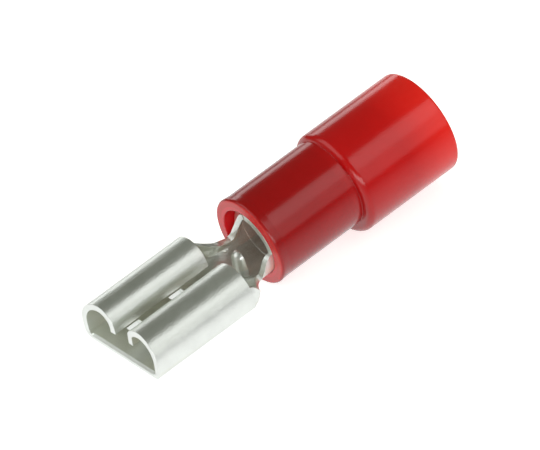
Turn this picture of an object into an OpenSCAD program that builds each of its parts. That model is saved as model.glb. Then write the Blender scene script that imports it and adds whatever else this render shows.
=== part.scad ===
// Insulated female spade terminal (push-on receptacle) for a 4.75 x 0.8 mm tab.
// +X runs along the wire barrel towards the wire, +Z is up, and the receptacle's floor faces down.
// The origin lies on the wire barrel's axis, at the middle of its length.

/* [Tab] */
// Width of the tab that the receptacle takes
tab_w = 4.75; // [4.2:0.05:6.5]
// Thickness of the tab
tab_t = 0.8; // [0.5:0.1:1]
// Play between the tab's edge and the flat floor's edge, each side
tab_side_gap = 0.02; // [0.01:0.01:0.2]
// Play between the tab and the rolled lips
tab_top_gap = 0.02; // [0:0.01:0.1]

/* [Sheet] */
// Thickness of the sheet that the terminal is stamped from
sheet_t = 0.33; // [0.25:0.01:0.4]
// Inside radius of the corner between floor and wall
bend_r = 0.17; // [0.1:0.01:0.3]

/* [Receptacle] */
// Length of the receptacle's floor
receptacle_l = 6.3; // [5:0.1:9]
// Outer radius of the rolled edges, from the wall to the top and beyond
roll_r = 1.34; // [1.2:0.02:1.4]
// Height of the barrel's axis over the underside of the floor
axis_h = 1.33; // [1.1:0.01:1.5]

/* [Left roll] */
// Height of the left roll over the tab's upper face
left_rise = 1.25; // [1.15:0.01:1.4]
// Outward lean of the left wall, in degrees
left_lean = 7; // [1:1:9]
// Turn of the roll beyond its top, where the lip's own radius begins, in degrees
left_past = 0; // [0:2:50]
// Outer radius of the left lip
left_lip_r = 1.1; // [0.35:0.05:1.15]

/* [Right roll] */
// Height of the right roll over the tab's upper face
right_rise = 1.15; // [1.15:0.01:1.4]
// Outward lean of the right wall, in degrees
right_lean = 1; // [1:1:9]
// Turn of the roll beyond its top, where the lip's own radius begins, in degrees
right_past = 44; // [0:2:50]
// Outer radius of the right lip
right_lip_r = 0.36; // [0.35:0.01:1.1]

/* [Front edge] */
// How far the top of the rolls sits behind the floor's front edge
front_sweep = 0.2; // [0:0.02:0.5]
// Angle by which each roll's front edge runs back towards its lip
lip_sweep = 3.5; // [0:0.5:6]
// Size of the bevel that leads the tab onto the floor
lead_in = 0.12; // [0.05:0.01:0.2]

/* [Floor windows and detent] */
// Length of each window along the floor
window_l = 0.8; // [0.4:0.05:1.2]
// Width of each window across the floor
window_w = 2.55; // [1.5:0.05:3.5]
// Distance between the centres of the two windows
window_pitch = 2.75; // [2.2:0.05:3.2]
// Distance from the floor's front edge to the middle of the windows
window_mid = 3.1; // [2.8:0.05:3.4]
// Radius of the pressed detent between the windows
detent_r = 0.55; // [0.4:0.05:0.7]
// Height of the detent over the floor
detent_h = 0.12; // [0.05:0.01:0.2]

/* [Neck] */
// Length from the receptacle's rear edge to the mouth of the barrel
neck_l = 2.3; // [1.9:0.1:3]
// Length over which the flat tray turns into the round of the barrel
form_l = 1.9; // [1.4:0.05:1.9]
// Half width of the blank at the receptacle end of the neck
wing_wide = 3.85; // [3.4:0.05:4.2]
// Half width of the blank at the left waist
left_waist = 2.06; // [1.8:0.02:2.5]
// Length over which the left edge runs in to its waist
left_run = 2.05; // [1.2:0.05:2.2]
// Length of the rounded shoulder in front of the barrel's left half
left_shoulder_l = 0.1; // [0.05:0.05:0.9]
// Width of that shoulder round the blank
left_shoulder_w = 0.12; // [0.05:0.01:1.2]
// Half width of the blank at the right waist
right_waist = 1.8; // [1.8:0.02:2.5]
// Length over which the right edge runs in to its waist
right_run = 1.35; // [1.2:0.05:2.2]
// Length of the rounded shoulder in front of the barrel's right half
right_shoulder_l = 0.7; // [0.05:0.05:0.9]
// Width of that shoulder round the blank
right_shoulder_w = 1.05; // [0.05:0.05:1.2]

/* [Wire stop] */
// Distance from the barrel's mouth to the wire stop's steep face
stop_gap = 0.75; // [0.5:0.05:0.9]
// Height of the wire stop's crown over the middle of the neck's floor
stop_h = 1.6; // [1.2:0.05:1.7]
// Radius of the wire stop's crown
stop_top_r = 0.42; // [0.3:0.02:0.45]
// Radius of the wire stop at its foot
stop_foot_r = 0.56; // [0.45:0.01:0.6]
// Wall of the wire stop, drawn thinner than the sheet
stop_t = 0.2; // [0.15:0.01:0.25]

/* [Wire barrel] */
// Bore of the wire barrel
barrel_bore = 3; // [2.6:0.05:3.2]
// Length of the round barrel behind its dented mouth
barrel_l = 4.8; // [4:0.1:6]
// Length over which the dented mouth grows round
mouth_l = 0.8; // [0.5:0.05:1.2]
// Distance of the mouth's left flat from the axis, as a share of the round radius
left_flat = 0.6; // [0.55:0.01:1]
// Direction that the left flat faces, in degrees from the top
left_flat_at = 57; // [40:1:70]
// Distance of the mouth's right flat from the axis, as a share of the round radius
right_flat = 0.99; // [0.55:0.01:1]
// Direction that the right flat faces, in degrees from the top
right_flat_at = 45; // [40:1:70]
// Angle by which the barrel's seam has turned away from the top
barrel_turn = 3; // [0:1:12]
// Width of the butt seam
seam_w = 0.08; // [0.05:0.01:0.12]
// Depth of the seam's groove outside and inside
seam_d = 0.08; // [0.04:0.01:0.12]

/* [Support sleeve] */
// Wall of the metal support sleeve
support_t = 0.15; // [0.12:0.01:0.2]
// Clearance between sleeves that slide over each other
slip = 0.02; // [0.01:0.005:0.04]
// Distance from the insulating sleeve's front to the support sleeve
support_start = 1.2; // [1:0.1:2]
// Length of insulating sleeve left unbacked behind the support sleeve
support_short = 2.4; // [1.6:0.1:3]
// Length of the support sleeve's cone between its two diameters
cone_l = 0.5; // [0.3:0.05:0.8]

/* [Insulating sleeve] */
// Length of the insulating sleeve
sleeve_l = 11.3; // [10.5:0.1:13]
// Outer diameter over the wire barrel
sleeve_d = 4.84; // [4.7:0.02:5.2]
// Outer diameter of the bell
bell_d = 5.66; // [5.5:0.02:6.2]
// Distance from the sleeve's front to the bell's shoulder
shoulder_at = 5.35; // [5:0.05:6]
// Wall of the bell
bell_wall = 0.48; // [0.4:0.02:0.55]
// Sideways and downward shift of the bell's outside from the axis
bell_shift = 0.12; // [0:0.01:0.15]
// Rounding of the bell's shoulder
shoulder_r = 0.35; // [0.2:0.05:0.4]
// Rounding of the sleeve's end rims
rim_r = 0.14; // [0.05:0.01:0.18]
// Amount by which the front rim stands proud of the sleeve's diameter
front_flare = 0.04; // [0:0.01:0.08]
// Length over which the front rim falls back to that diameter
flare_l = 0.55; // [0.3:0.05:0.8]

/* [Hidden] */
$fn = 96;

TIN = "gainsboro";
VINYL = "red";
EPS = 0.01;                                  // overlap that keeps cuts clear of a face

// Stations along X
barrel_front = -barrel_l / 2;
barrel_rear = barrel_l / 2;
mouth_x = barrel_front - mouth_l;            // cut front edge of the barrel
sleeve_front = mouth_x;
sleeve_rear = sleeve_front + sleeve_l;
receptacle_rear = mouth_x - neck_l;
receptacle_front = receptacle_rear - receptacle_l;

// Sheet and barrel
half_t = sheet_t / 2;
barrel_mid_r = barrel_bore / 2 + half_t;     // middle of the barrel's wall
barrel_r = barrel_bore / 2 + sheet_t;
floor_z = -axis_h;                           // underside of the floor
floor_mid_z = floor_z + half_t;

// Receptacle section, along the middle of the sheet, from the floor's centre to one lip
floor_half = tab_w / 2 + tab_side_gap;
corner_mid_r = bend_r + half_t;
roll_mid_r = roll_r - half_t;
wall_y = floor_half + corner_mid_r;
LIP_TIP = 0.05;                              // shortest straight tip that a lip keeps
RUN_LAP = 0.0001;                            // overlap that joins one run of the sheet to the next
WEDGE_STEPS = 3;                             // corners of the wedge that cuts a share out of a ring
left_runs = side_runs(left_rise, left_lean, left_past, left_lip_r);
right_runs = side_runs(right_rise, right_lean, right_past, right_lip_r);

// Neck: rows run along X, columns run round the section from one edge to the other
NECK_ROWS = 28;                              // rows in front of the mouth
MOUTH_ROWS = 6;                              // rows behind the mouth's cut edge
WING_COLS = 13;                              // columns from the middle to a wing's edge
ROOF_COLS = 18;                              // columns from there up to the seam
FLAT_POWER = 16;                             // how sharply the mouth's flats meet its round
neck_lap = 0.2;                              // length buried in the receptacle and in the barrel
skin = 0.01;                                 // how much thinner the buried ends are, each face
rows = NECK_ROWS + MOUTH_ROWS + 1;
side_cols = WING_COLS + ROOF_COLS;
cols = 2 * side_cols + 1;
seam_arc = PI * barrel_mid_r - seam_w / 2;   // half the developed barrel, less half the seam

// Sleeves
support_front = sleeve_front + support_start;
support_rear = sleeve_rear - support_short;
support_in = barrel_r + slip;
support_out = support_in + support_t;
bell_bore_r = bell_d / 2 - bell_wall;
bell_support_out = bell_bore_r - slip;
bell_support_in = bell_support_out - support_t;
bore_cone_x = max(sleeve_front + shoulder_at, barrel_rear);

function smooth(k) = let (c = min(1, max(0, k))) c * c * (3 - 2 * c);
function mix(a, b, k) = a + (b - a) * k;
function arc(centre, r, from, to, steps = 8) =
    [for (i = [0:steps]) centre + r * [cos(mix(from, to, i / steps)), sin(mix(from, to, i / steps))]];

// One side of the receptacle, run by run: up the wall, over the roll and down to the lip's tip.
// A run is [length] for a straight, or [mid radius, turn to the left in degrees] for a bend.
function side_runs(rise, lean, past, lip_r) = let (
        wall_run = (tab_t + rise - corner_mid_r * (1 - sin(lean)) - roll_mid_r * (1 + sin(lean))) / cos(lean),
        lip_room = rise - half_t - tab_top_gap - roll_mid_r * (1 - cos(past)),
        lip_mid_r = min(lip_r - half_t, (lip_room - LIP_TIP) / cos(past)))
    [[floor_half], [corner_mid_r, 90 - lean], [wall_run], [roll_mid_r, 90 + lean + past],
        [lip_mid_r, 90 - past], [lip_room - lip_mid_r * cos(past)]];

// Length of a run, and the way covered after a distance s on it that starts off in a direction
function run_l(run) = len(run) == 1 ? run[0] : run[0] * run[1] * PI / 180;
function way(run, s, dir) = len(run) == 1 ? s * [cos(dir), sin(dir)]
    : let (turned = dir + s / run[0] * 180 / PI) run[0] * [sin(turned) - sin(dir), cos(dir) - cos(turned)];

// Point at a distance s along a strip of runs that starts at the origin along +X
function along(runs, s, i = 0, dir = 0) = let (run = runs[i], l = run_l(run))
    s <= l || i == len(runs) - 1 ? way(run, s, dir)
    : way(run, l, dir) + along(runs, s - l, i + 1, len(run) == 1 ? dir : dir + run[1]);

// --- Neck surface ---------------------------------------------------------------------------------

// Position along X of a row: the first rows reach the mouth's cut edge, the rest run into the barrel
function row_x(i) = i <= NECK_ROWS
    ? mix(receptacle_rear - neck_lap, mouth_x, i / NECK_ROWS)
    : mix(mouth_x, barrel_front + neck_lap, (i - NECK_ROWS) / MOUTH_ROWS);

// Middle of the sheet in the receptacle's tray, at a distance s round from the floor's centre
function tray_point(s) = let (p = along(s > 0 ? left_runs : right_runs, abs(s)))
    [sign(s) * p[0], floor_mid_z + p[1]];

// Radius out to a flat of the mouth, in a direction that lies an angle away from the flat's own
function flat_r(share, away) = barrel_mid_r * share / max(EPS, cos(min(90, abs(away))));

// The least of three radii, with the corners between them eased
function eased_min(a, b, c) =
    pow(pow(a, -FLAT_POWER) + pow(b, -FLAT_POWER) + pow(c, -FLAT_POWER), -1 / FLAT_POWER);

// Middle of the sheet in the barrel: round, with two flats at the mouth that fade out behind it
function tube_point(x, s) = let (
        turned = s / barrel_mid_r * 180 / PI + barrel_turn,
        up = (s < 0 ? -180 : 180) - turned,
        mouth_r = eased_min(barrel_mid_r, flat_r(left_flat, up - left_flat_at),
            flat_r(right_flat, up + right_flat_at)),
        r = mix(mouth_r, barrel_mid_r, smooth((x - mouth_x) / mouth_l)))
    r * [sin(turned), -cos(turned)];

function form_share(x) = smooth((x - receptacle_rear) / form_l);
function sheet_point(x, s) = mix(tray_point(s), tube_point(x, s), form_share(x));

// Half width of the blank along the neck: it runs in to a waist, then out to the barrel's shoulder
function wing_edge(x, waist, run, shoulder_l, shoulder_w) = let (
        ahead = max(0, mouth_x - x) / shoulder_l)
    mix(wing_wide, waist, smooth((x - receptacle_rear) / run))
        + shoulder_w * sqrt(max(0, 1 - ahead * ahead));
function side_edge(x, side) = side > 0
    ? wing_edge(x, left_waist, left_run, left_shoulder_l, left_shoulder_w)
    : wing_edge(x, right_waist, right_run, right_shoulder_l, right_shoulder_w);

function col_s(x, j) = let (edge = side_edge(x, j))
    abs(j) <= WING_COLS ? edge * j / WING_COLS
    : sign(j) * mix(edge, seam_arc, (abs(j) - WING_COLS) / ROOF_COLS);

// A point on one face of the sheet: side is +1 outside and -1 inside
function skin_point(i, j, side) = let (
        x = row_x(i),
        s = col_s(x, j),
        p = sheet_point(x, s),
        d = sheet_point(x, s + EPS) - sheet_point(x, s - EPS),
        out = [d[1], -d[0]] / norm(d),
        q = p + out * side * (half_t - skin))
    [x, q[0], q[1]];

function has_cell(i, j) = i >= 0 && i < rows - 1 && abs(j + 0.5) < side_cols
    && (abs(j + 0.5) < WING_COLS || i >= NECK_ROWS);
function at(i, j, inner) = 2 * (i * cols + j + side_cols) + inner;
function quad(a, b, c, d) = [[a, c, b], [a, d, c]];

// The neck and the barrel's mouth, as one curved sheet
module neck_sheet() {
    points = [for (i = [0:rows - 1], j = [-side_cols:side_cols], side = [1, -1]) skin_point(i, j, side)];
    faces = [for (i = [0:rows - 2], j = [-side_cols:side_cols - 1]) if (has_cell(i, j)) each [
        each quad(at(i, j, 0), at(i, j + 1, 0), at(i + 1, j + 1, 0), at(i + 1, j, 0)),
        each quad(at(i, j, 1), at(i + 1, j, 1), at(i + 1, j + 1, 1), at(i, j + 1, 1)),
        each has_cell(i - 1, j) ? [] : quad(at(i, j, 0), at(i, j, 1), at(i, j + 1, 1), at(i, j + 1, 0)),
        each has_cell(i + 1, j) ? []
            : quad(at(i + 1, j, 0), at(i + 1, j + 1, 0), at(i + 1, j + 1, 1), at(i + 1, j, 1)),
        each has_cell(i, j - 1) ? [] : quad(at(i, j, 0), at(i + 1, j, 0), at(i + 1, j, 1), at(i, j, 1)),
        each has_cell(i, j + 1) ? []
            : quad(at(i, j + 1, 0), at(i, j + 1, 1), at(i + 1, j + 1, 1), at(i + 1, j + 1, 0))]];
    polyhedron(points, faces, convexity = 6);
}

// --- Receptacle -----------------------------------------------------------------------------------

// A share of a ring, swept left from straight down
module ring_sector(mid_r, turn) {
    lap = RUN_LAP / mid_r * 180 / PI;
    far = 2 * (mid_r + sheet_t);
    intersection() {
        difference() {
            circle(r = mid_r + half_t);
            circle(r = mid_r - half_t);
        }
        polygon([[0, 0], for (k = [0:WEDGE_STEPS]) let (a = mix(-lap, turn + lap, k / WEDGE_STEPS))
            far * [sin(a), -cos(a)]]);
    }
}

// A bent strip of sheet, run by run from the origin along +X
module strip(runs, i = 0) {
    if (i < len(runs)) {
        run = runs[i];
        if (len(run) == 1)
            translate([-RUN_LAP, -half_t]) square([run[0] + 2 * RUN_LAP, sheet_t]);
        else
            translate([0, run[0]]) ring_sector(run[0], run[1]);
        translate(way(run, run_l(run), 0)) rotate(len(run) == 1 ? 0 : run[1]) strip(runs, i + 1);
    }
}

// Takes the front of the left roll back behind the floor's edge
module front_cut(rise) {
    low = floor_z + sheet_t;
    top = low + tab_t + rise;
    translate([receptacle_front, wall_y, 0])
        rotate([90, 0, lip_sweep])
            translate([0, 0, -wall_y])
                linear_extrude(2 * wall_y)
                    polygon([[-wall_y, low], [0, low], [front_sweep, top], [front_sweep, top + sheet_t],
                        [-wall_y, top + sheet_t]]);
}

module receptacle() {
    difference() {
        translate([receptacle_front, 0, floor_mid_z])
            rotate([90, 0, 90])
                linear_extrude(receptacle_l) {
                    strip(left_runs);
                    mirror([1, 0]) strip(right_runs);
                }
        front_cut(left_rise);
        mirror([0, 1, 0]) front_cut(right_rise);
        lead_in_cut();
        for (side = [-1, 1])
            translate([receptacle_front + window_mid + side * window_pitch / 2, 0, floor_mid_z])
                cube([window_l, window_w, 2 * sheet_t], center = true);
    }
}

// Bevel on the inner front edge of the floor
module lead_in_cut() {
    translate([receptacle_front, 0, floor_z + sheet_t])
        rotate([90, 0, 0])
            translate([0, 0, -floor_half])
                linear_extrude(2 * floor_half)
                    polygon([[-lead_in, -lead_in], [0, -lead_in], [lead_in, 0], [lead_in, lead_in],
                        [-lead_in, lead_in]]);
}

// The detent: a shallow dome pressed up out of the floor, hollow underneath
module detent_skin(r, from_z) {
    translate([receptacle_front + window_mid, 0, 0])
        intersection() {
            translate([0, 0, floor_z + sheet_t + detent_h - detent_r]) sphere(r = r);
            translate([-detent_r, -detent_r, from_z]) cube(2 * detent_r);
        }
}

// --- Wire stop ------------------------------------------------------------------------------------

stop_x = mouth_x - stop_gap;                 // steep face towards the barrel
stop_floor = mix(floor_mid_z, -barrel_mid_r, form_share(stop_x));

// The wire stop: half of a slim dome, lanced and drawn up from the neck, hollow underneath
module stop_skin(shrink, from_z) {
    crown_z = stop_floor + stop_h - stop_top_r;
    translate([stop_x, 0, 0])
        intersection() {
            union() {
                translate([0, 0, crown_z]) sphere(r = stop_top_r - shrink);
                translate([0, 0, from_z])
                    cylinder(r1 = stop_foot_r - shrink, r2 = stop_top_r - shrink, h = crown_z - from_z);
            }
            translate([-2 * stop_foot_r, -stop_foot_r, from_z])
                cube([2 * stop_foot_r, 2 * stop_foot_r, stop_h + sheet_t]);
        }
}

// --- Nodes ----------------------------------------------------------------------------------------

module round_barrel() {
    rotate([0, 90, 0])
        translate([0, 0, barrel_front])
            difference() {
                cylinder(r = barrel_r, h = barrel_l);
                translate([0, 0, -EPS]) cylinder(d = barrel_bore, h = barrel_l + 2 * EPS);
            }
}

// Grooves that show the butt seam outside and inside the round barrel
module seam_grooves() {
    rotate([-barrel_turn, 0, 0])
        for (z = [barrel_r, barrel_bore / 2])
            translate([barrel_front - EPS, -seam_w / 2, z - seam_d])
                cube([barrel_l + 2 * EPS, seam_w, 2 * seam_d]);
}

module terminal() {
    color(TIN) {
        difference() {
            union() {
                receptacle();
                detent_skin(detent_r, floor_mid_z);
                neck_sheet();
                round_barrel();
                stop_skin(0, stop_floor);
            }
            detent_skin(detent_r - sheet_t, floor_z - EPS);
            stop_skin(stop_t, stop_floor - sheet_t);
            seam_grooves();
        }
    }
}

// Thin stepped tube over the barrel, widened to back the bell
module support_sleeve() {
    color(TIN)
        rotate([0, 90, 0])
            rotate_extrude()
                polygon([[support_in, support_front], [support_out, support_front],
                    [support_out, bore_cone_x], [bell_support_out, bore_cone_x + cone_l],
                    [bell_support_out, support_rear], [bell_support_in, support_rear],
                    [bell_support_in, bore_cone_x + cone_l], [support_in, bore_cone_x]]);
}

module insulating_sleeve() {
    color(VINYL) {
        difference() {
            union() {
                sleeve_body();
                bell_body();
            }
            sleeve_bore();
        }
    }
}

// Outside of the sleeve over the wire barrel, with a rounded and slightly proud front rim
module sleeve_body() {
    body_r = sleeve_d / 2;
    rim = body_r + front_flare;
    rotate([0, 90, 0])
        rotate_extrude()
            polygon([[0, sleeve_front],
                each arc([rim - rim_r, sleeve_front + rim_r], rim_r, -90, 0),
                [body_r, sleeve_front + flare_l], [body_r, sleeve_front + shoulder_at + shoulder_r],
                [0, sleeve_front + shoulder_at + shoulder_r]]);
}

// Outside of the bell, whose mould half sits a little off the axis
module bell_body() {
    shoulder_x = sleeve_front + shoulder_at;
    bell_r = bell_d / 2;
    translate([0, -bell_shift, -bell_shift])
        rotate([0, 90, 0])
            rotate_extrude()
                polygon([[0, shoulder_x], [sleeve_d / 2 - bell_shift, shoulder_x],
                    each arc([bell_r - shoulder_r, shoulder_x + shoulder_r], shoulder_r, -90, 0),
                    each arc([bell_r - rim_r, sleeve_rear - rim_r], rim_r, 0, 90),
                    [0, sleeve_rear]]);
}

// Room for the barrel, the support sleeve and the insulated wire
module sleeve_bore() {
    rotate([0, 90, 0])
        rotate_extrude()
            polygon([[0, sleeve_front - EPS], [barrel_r + slip, sleeve_front - EPS],
                [barrel_r + slip, support_front - slip], [support_out + slip, support_front - slip],
                [support_out + slip, bore_cone_x], [bell_bore_r, bore_cone_x + cone_l],
                [bell_bore_r, sleeve_rear + EPS], [0, sleeve_rear + EPS]]);
}

terminal();
support_sleeve();
insulating_sleeve();
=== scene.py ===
"""Looks for an insulated female spade terminal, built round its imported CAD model."""
import math

import bpy
from mathutils import Matrix, Vector

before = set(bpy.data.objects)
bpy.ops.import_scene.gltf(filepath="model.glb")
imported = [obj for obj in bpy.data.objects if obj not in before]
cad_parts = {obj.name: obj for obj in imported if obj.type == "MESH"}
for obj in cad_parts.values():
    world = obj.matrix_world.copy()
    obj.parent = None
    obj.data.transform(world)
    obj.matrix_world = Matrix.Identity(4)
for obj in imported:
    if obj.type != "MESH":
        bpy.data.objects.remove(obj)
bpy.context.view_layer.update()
MM = 0.001


def grey(value):
    return (value, value, value, 1.0)


# --- Camera: metres, and degrees with the azimuth from +X towards +Y ------------------------------

VIEW_AZIMUTH = -120.85
VIEW_ELEVATION = 39.57
VIEW_ROLL = -15.45
VIEW_DISTANCE = 0.3922
VIEW_AIM = Vector((-1.98, -0.32, 0.41)) * MM
LENS = 533.3
SENSOR = 36.0
CLIP = (0.01, 10.0)

# --- Metal ----------------------------------------------------------------------------------------

TIN = {"base": (0.93, 0.965, 0.925), "rough": 0.34, "grain": 0.012 * MM, "edge": 0.04 * MM}
SUPPORT = {"base": (0.72, 0.69, 0.62), "rough": 0.33, "grain": 0.0015 * MM, "edge": 0.03 * MM}
TIN_METALLIC = 0.88                          # the rest is a thin dull bloom on the plating
STAIN_SCALE = 700.0
STAIN_DETAIL = 4.0
STAIN_BREAKUP = 0.6
STAIN_BAND = (0.3, 0.7)                      # the part of the noise between the dark and the clear metal
STAIN_SHADE = 0.9
STAIN_ROUGHNESS = 0.05
GRAIN_SCALE = (9000.0, 12000.0, 12000.0)
GRAIN_DETAIL = 3.0
PAINTED_HOLLOW_REACH = 3.0 * MM                     # how far away a wall still shelters the metal, for the painted shade and reflection in its hollows
PAINTED_HOLLOW_SAMPLES = 8
PAINTED_HOLLOW_OPENNESS = (0.5, 0.18)               # how open the metal lies where the painted shade and reflection start and where they are full
HOLLOW_METALLIC = 0.5
HOLLOW_ROUGHNESS = 0.5
PAINTED_HOLLOW_TAB = (0.74, 0.73, 0.60, 1.0)        # painted shade and painted olive reflection in the receptacle's hollows
PAINTED_HOLLOW_BARREL = (1.0, 0.64, 0.52, 1.0)      # painted reflection of the red sleeve, with painted shade, in the wire barrel
PAINTED_HOLLOW_CHANGE = (-4.5 * MM, -2.5 * MM)      # along X, from the one to the other
PAINTED_HOLLOW_ABOVE = (-1.0 * MM, -0.93 * MM)      # the windows' cut walls and the underside stay bright

# --- Vinyl ----------------------------------------------------------------------------------------

VINYL_SPAN = (-3.2 * MM, 8.1 * MM)           # the sleeve along X
VINYL_RED_AND_PAINTED_LIGHT = [                              # its colour along that span, with painted light in it: painted shade over the metal under it and a painted glow towards the thin bell end
    (0.0005, (0.68, 0.018, 0.018, 1)),       # the front face, painted brighter as if lit from the front
    (0.002, (0.35, 0.003, 0.004, 1)),
    (0.12, (0.35, 0.003, 0.004, 1)),
    (0.42, (0.40, 0.003, 0.004, 1)),
    (0.52, (0.53, 0.004, 0.005, 1)),
    (0.75, (0.59, 0.005, 0.005, 1)),
    (0.88, (0.76, 0.012, 0.009, 1)),
    (1.0, (0.88, 0.020, 0.012, 1)),
]
VINYL_BORE_GLOW_RADII = (2.04 * MM, 2.06 * MM)          # distance from the axis within which the bore's painted glow holds
# painted glow: the bore wall is painted bright red, as if lit through the thin wall
VINYL_BORE_PAINTED_GLOW = (0.8, 0.015, 0.025, 1.0)
VINYL_ROUGHNESS = 0.19
VINYL_IOR = 1.53
VINYL_GLOW = 0.35                            # the light that soaks through the thin wall
VINYL_GLOW_DEPTH = 0.8 * MM
VINYL_GLOW_SPREAD = (1.0, 0.1, 0.1)          # red goes deepest
VINYL_EDGE = 0.08 * MM
CLOUD_SCALE = 350.0
CLOUD_DETAIL = 3.0
CLOUD_BAND = (0.3, 0.7)
CLOUD_SHADE = 0.9
RIPPLE_SCALE = 1100.0
RIPPLE_DETAIL = 2.0
RIPPLE_DEPTH = 0.004 * MM

NOISE_BREAKUP = 0.5
BEVEL_SAMPLES = 6
ACROSS_X = (0.0, 1.0, 1.0)                   # leaves Y and Z, so a length is the distance from the axis

# --- Floor and room -------------------------------------------------------------------------------

FLOOR_RADIUS = 0.6
FLOOR_SIDES = 96
PAPER_ALBEDO = 0.92
PAPER_ROUGHNESS = 0.9
FLOOR_SEEN = 0.74                            # what the camera sees of it on top of its lit colour
FLOOR_GLOSS_REACH = 40.0 * MM                # the gloss sees a painted pool of light on the sheet, which falls off over this way to the front
FLOOR_GLOSS_PAINTED_POOL = [
    (0.1, grey(1.0)),
    (0.16, grey(0.82)),
    (0.225, grey(0.6)),
    (0.325, grey(0.38)),
    (0.525, grey(0.15)),
    (1.0, grey(0.06)),
]
REST_UP = Vector((0.09, 0.11, 1.0))          # about how the part lies, which picks the corner that touches
REST_STEPS = 8
BELL_FROM = 1.5 * MM                         # along X, between the narrow sleeve and the bell
ROOM_COLOUR = (0.95, 1.0, 0.78, 1.0)
ROOM_LEVEL = 0.09                            # what the gloss sees of the dark room
ROOM_FILL = 0.3                              # what it adds to the soft light
ROOM_SEEN = 1.0                              # what the camera sees

# --- Lamps: rectangles that face the part, at a level where 1 is as bright as white ---------------

LAMPS = {
    "softbox_upper": {"azimuth": -57, "elevation": 47, "distance": 0.5, "size": (0.26, 0.23), "level": 1.25},
    "softbox_lower": {"azimuth": -57, "elevation": 20, "distance": 0.5, "size": (0.26, 0.25), "level": 0.72},
    "main_lamp": {"azimuth": -120, "elevation": 12, "distance": 0.7, "size": (1.2, 0.35), "level": 3.35},
    "rear_lamp": {"azimuth": 145, "elevation": 47, "distance": 0.6, "size": (0.7, 0.5), "level": 1.1},
    "back_panel": {"azimuth": 62, "elevation": 7, "distance": 0.62, "size": (0.5, 0.17), "level": 1.7},
}

# --- Shader helpers -------------------------------------------------------------------------------

MIX_SOCKETS = {"FLOAT": (2, 3, 0), "RGBA": (6, 7, 2)}    # a Mix node's two inputs and its output, by kind


def node(name):
    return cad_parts[name]


def new_material(name):
    material = bpy.data.materials.new(name)
    material.use_nodes = True
    tree = material.node_tree
    return material, tree, tree.nodes["Principled BSDF"]


def add_node(tree, kind, **values):
    made = tree.nodes.new(kind)
    for key, value in values.items():
        if key in made.inputs:
            made.inputs[key].default_value = value
        else:
            setattr(made, key, value)
    return made


def feed(tree, socket, source):
    """Links another node's output to the socket, or sets the socket to a plain value."""
    if isinstance(source, bpy.types.NodeSocket):
        tree.links.new(source, socket)
    else:
        socket.default_value = source


def map_range(tree, value, start=(0.0, 1.0), end=(0.0, 1.0)):
    made = add_node(tree, "ShaderNodeMapRange")
    sources = (value, *start, *end)
    for key, source in zip(("Value", "From Min", "From Max", "To Min", "To Max"), sources):
        feed(tree, made.inputs[key], source)
    return made.outputs["Result"]


def mix(tree, kind, factor, first, second, blend="MIX"):
    made = add_node(tree, "ShaderNodeMix", data_type=kind, blend_type=blend)
    first_at, second_at, result_at = MIX_SOCKETS[kind]
    feed(tree, made.inputs["Factor"], factor)
    feed(tree, made.inputs[first_at], first)
    feed(tree, made.inputs[second_at], second)
    return made.outputs[result_at]


def calculate(tree, operation, *sources):
    made = add_node(tree, "ShaderNodeMath", operation=operation)
    for socket, source in zip(made.inputs, sources):
        feed(tree, socket, source)
    return made.outputs[0]


def split(tree, vector):
    made = add_node(tree, "ShaderNodeSeparateXYZ")
    tree.links.new(vector, made.inputs["Vector"])
    return made.outputs


def stretch(tree, vector, scale):
    made = add_node(tree, "ShaderNodeMapping", Scale=scale)
    tree.links.new(vector, made.inputs["Vector"])
    return made.outputs["Vector"]


def noise(tree, vector, scale, detail, breakup=NOISE_BREAKUP):
    made = add_node(tree, "ShaderNodeTexNoise", Scale=scale, Detail=detail, Roughness=breakup)
    tree.links.new(vector, made.inputs["Vector"])
    return made.outputs["Fac"]


def colour_ramp(tree, position, stops):
    made = add_node(tree, "ShaderNodeValToRGB")
    elements = made.color_ramp.elements
    while len(elements) > 1:
        elements.remove(elements[-1])
    elements[0].position, elements[0].color = stops[0]
    for place, colour in stops[1:]:
        elements.new(place).color = colour
    tree.links.new(position, made.inputs["Fac"])
    return made.outputs["Color"]


def relief(tree, shader, height, depth, edge):
    """Bumps the surface by the height, over edges that are softly broken at a radius."""
    edges = add_node(tree, "ShaderNodeBevel", samples=BEVEL_SAMPLES, Radius=edge)
    bump = add_node(tree, "ShaderNodeBump", Strength=1.0, Distance=depth)
    tree.links.new(height, bump.inputs["Height"])
    tree.links.new(edges.outputs["Normal"], bump.inputs["Normal"])
    tree.links.new(bump.outputs["Normal"], shader.inputs["Normal"])


# --- Materials ------------------------------------------------------------------------------------

def painted_hollow_mask(tree, height):
    """How much painted shade and reflection the metal gets, 0 to 1: most where other walls shelter it, and none
    low down.
    """
    shelter = add_node(tree, "ShaderNodeAmbientOcclusion", samples=PAINTED_HOLLOW_SAMPLES, Distance=PAINTED_HOLLOW_REACH)
    above = map_range(tree, height, PAINTED_HOLLOW_ABOVE)
    return map_range(tree, shelter.outputs["AO"], PAINTED_HOLLOW_OPENNESS, (0.0, above))


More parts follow.
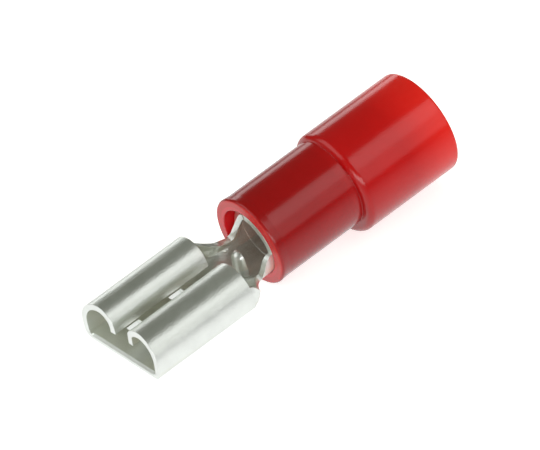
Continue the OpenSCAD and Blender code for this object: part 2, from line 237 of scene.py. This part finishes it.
def tin_plate(name, base, rough, grain, edge):
    """Satin bright tin over stamped sheet: faint stains, painted shade and reflection in its hollows and a fine
    grain.
    """
    material, tree, shader = new_material(name)
    where = add_node(tree, "ShaderNodeTexCoord").outputs["Object"]
    place = split(tree, where)
    stain = noise(tree, where, STAIN_SCALE, STAIN_DETAIL, STAIN_BREAKUP)
    shade = [(*[STAIN_SHADE * c for c in base], 1), (*base, 1)]
    polish = [grey(rough - STAIN_ROUGHNESS), grey(rough + STAIN_ROUGHNESS)]
    tint = colour_ramp(tree, stain, list(zip(STAIN_BAND, shade)))
    satin = colour_ramp(tree, stain, list(zip(STAIN_BAND, polish)))

    dull = painted_hollow_mask(tree, place["Z"])
    inward = map_range(tree, place["X"], PAINTED_HOLLOW_CHANGE)
    # the hollows' colour is painted shade and painted reflection: olive in the receptacle, red-brown from the
    # sleeve in the barrel
    hollow_colour = colour_ramp(tree, inward, [(0.0, PAINTED_HOLLOW_TAB), (1.0, PAINTED_HOLLOW_BARREL)])
    feed(tree, shader.inputs["Base Color"], mix(tree, "RGBA", dull, tint, hollow_colour))
    feed(tree, shader.inputs["Roughness"], mix(tree, "FLOAT", dull, satin, HOLLOW_ROUGHNESS))
    feed(tree, shader.inputs["Metallic"], map_range(tree, dull, end=(TIN_METALLIC, HOLLOW_METALLIC)))
    lines = noise(tree, stretch(tree, where, GRAIN_SCALE), 1.0, GRAIN_DETAIL)
    relief(tree, shader, lines, grain, edge)
    return material


def red_vinyl():
    """Glossy vinyl with painted light: painted shade over the barrel, where metal lies close under it, a
    painted glow where it is open, and a painted lit front face and bore wall.
    """
    material, tree, shader = new_material("red_vinyl")
    where = add_node(tree, "ShaderNodeTexCoord").outputs["Object"]
    # the colour along X holds painted light: a lit front face, shade over the metal, glow at the thin bell end
    outside = colour_ramp(tree, map_range(tree, split(tree, where)["X"], VINYL_SPAN), VINYL_RED_AND_PAINTED_LIGHT)
    from_axis = add_node(tree, "ShaderNodeVectorMath", operation="LENGTH")
    tree.links.new(stretch(tree, where, ACROSS_X), from_axis.inputs[0])
    # painted glow on the bore wall
    bore = map_range(tree, from_axis.outputs["Value"], VINYL_BORE_GLOW_RADII, (1.0, 0.0))
    wall = mix(tree, "RGBA", bore, outside, VINYL_BORE_PAINTED_GLOW)
    cloud = noise(tree, where, CLOUD_SCALE, CLOUD_DETAIL)
    shade = colour_ramp(tree, cloud, list(zip(CLOUD_BAND, (grey(CLOUD_SHADE), grey(1.0)))))
    feed(tree, shader.inputs["Base Color"], mix(tree, "RGBA", 1.0, wall, shade, "MULTIPLY"))
    shader.inputs["Roughness"].default_value = VINYL_ROUGHNESS
    shader.inputs["IOR"].default_value = VINYL_IOR
    shader.inputs["Subsurface Weight"].default_value = VINYL_GLOW
    shader.inputs["Subsurface Radius"].default_value = VINYL_GLOW_SPREAD
    shader.inputs["Subsurface Scale"].default_value = VINYL_GLOW_DEPTH
    relief(tree, shader, noise(tree, where, RIPPLE_SCALE, RIPPLE_DETAIL), RIPPLE_DEPTH, VINYL_EDGE)
    return material


def white_paper():
    """Plain white: the camera sees a set level of it, the gloss a painted pool of light that fades to the
    front, and its lit colour keeps the shadow.
    """
    material, tree, shader = new_material("floor_white")
    shader.inputs["Roughness"].default_value = PAPER_ROUGHNESS
    shader.inputs["Specular IOR Level"].default_value = 0.0
    shader.inputs["Emission Color"].default_value = grey(1.0)
    ray = add_node(tree, "ShaderNodeLightPath").outputs
    lit = mix(tree, "RGBA", ray["Is Glossy Ray"], grey(PAPER_ALBEDO), grey(0.0))
    feed(tree, shader.inputs["Base Color"], lit)

    where = add_node(tree, "ShaderNodeNewGeometry").outputs["Position"]
    forward = map_range(tree, split(tree, where)["Y"], (0.0, -FLOOR_GLOSS_REACH))
    # painted pool of light for the gloss: brightest near the part, fading to the front
    gloss = colour_ramp(tree, forward, FLOOR_GLOSS_PAINTED_POOL)
    to_gloss = calculate(tree, "MULTIPLY", ray["Is Glossy Ray"], gloss)
    to_camera = calculate(tree, "MULTIPLY", ray["Is Camera Ray"], FLOOR_SEEN)
    feed(tree, shader.inputs["Emission Strength"], calculate(tree, "ADD", to_camera, to_gloss))
    return material


def set_material(name, material):
    data = node(name).data
    data.materials.clear()
    data.materials.append(material)


def dress_part():
    set_material("terminal", tin_plate("tin_plate", **TIN))
    set_material("support_sleeve", tin_plate("support_metal", **SUPPORT))
    set_material("insulating_sleeve", red_vinyl())


# --- Camera, floor, lights and world --------------------------------------------------------------

def direction(azimuth, elevation):
    a, e = math.radians(azimuth), math.radians(elevation)
    return Vector((math.cos(a) * math.cos(e), math.sin(a) * math.cos(e), math.sin(e)))


def add_object(name, data):
    made = bpy.data.objects.new(name, data)
    bpy.context.scene.collection.objects.link(made)
    return made


def make_camera():
    data = bpy.data.cameras.new("camera")
    data.lens, data.sensor_width = LENS, SENSOR
    data.clip_start, data.clip_end = CLIP
    camera = add_object("camera", data)
    back = direction(VIEW_AZIMUTH, VIEW_ELEVATION)
    turn = (-back).to_track_quat("-Z", "Y").to_matrix().to_4x4()
    roll = Matrix.Rotation(math.radians(VIEW_ROLL), 4, "Z")
    camera.matrix_world = Matrix.Translation(VIEW_AIM + back * VIEW_DISTANCE) @ turn @ roll
    bpy.context.scene.camera = camera


def world_points(name):
    piece = node(name)
    return [piece.matrix_world @ vertex.co for vertex in piece.data.vertices]


def resting_plane():
    """A point and the normal of the plane that the part lies on. Three places touch it: the receptacle's near
    front corner, the narrow sleeve's front rim and the bell."""
    sleeve = world_points("insulating_sleeve")
    narrow = [point for point in sleeve if point.x <= BELL_FROM]
    wide = [point for point in sleeve if point.x > BELL_FROM]
    groups = (world_points("terminal"), narrow, wide)
    up = REST_UP
    for _ in range(REST_STEPS):
        corner, rim, bell = (min(group, key=up.dot) for group in groups)
        up = (rim - corner).cross(bell - corner).normalized()
        up = up if up.z > 0 else -up
    return rim, up


def make_floor():
    point, up = resting_plane()
    bpy.ops.mesh.primitive_circle_add(vertices=FLOOR_SIDES, radius=FLOOR_RADIUS, fill_type="NGON")
    floor = bpy.context.active_object
    floor.name = "floor"
    floor.rotation_euler = up.to_track_quat("Z", "Y").to_euler()
    floor.location = point
    floor.data.materials.append(white_paper())


def area_light(name, azimuth, elevation, distance, size, level):
    data = bpy.data.lights.new(name, "AREA")
    data.shape, data.size, data.size_y = "RECTANGLE", *size
    data.energy = level * math.pi * data.size * data.size_y
    lamp = add_object(name, data)
    towards = direction(azimuth, elevation)
    lamp.location = towards * distance
    lamp.rotation_euler = (-towards).to_track_quat("-Z", "Y").to_euler()


def make_world():
    """White for the camera, a dark room for the gloss, and a little more light for the matt surfaces."""
    world = bpy.data.worlds.new("studio")
    world.use_nodes = True
    tree = world.node_tree
    background = tree.nodes["Background"]
    ray = add_node(tree, "ShaderNodeLightPath").outputs
    level = map_range(tree, ray["Is Camera Ray"], end=(ROOM_LEVEL, ROOM_SEEN))
    fill = calculate(tree, "MULTIPLY_ADD", ray["Is Diffuse Ray"], ROOM_FILL, level)
    feed(tree, background.inputs["Strength"], fill)
    feed(tree, background.inputs["Color"], mix(tree, "RGBA", ray["Is Camera Ray"], ROOM_COLOUR, grey(1.0)))
    bpy.context.scene.world = world


dress_part()
make_camera()
make_floor()
for lamp_name, lamp_values in LAMPS.items():
    area_light(lamp_name, **lamp_values)
make_world()
bpy.context.scene.view_settings.view_transform = "Standard"
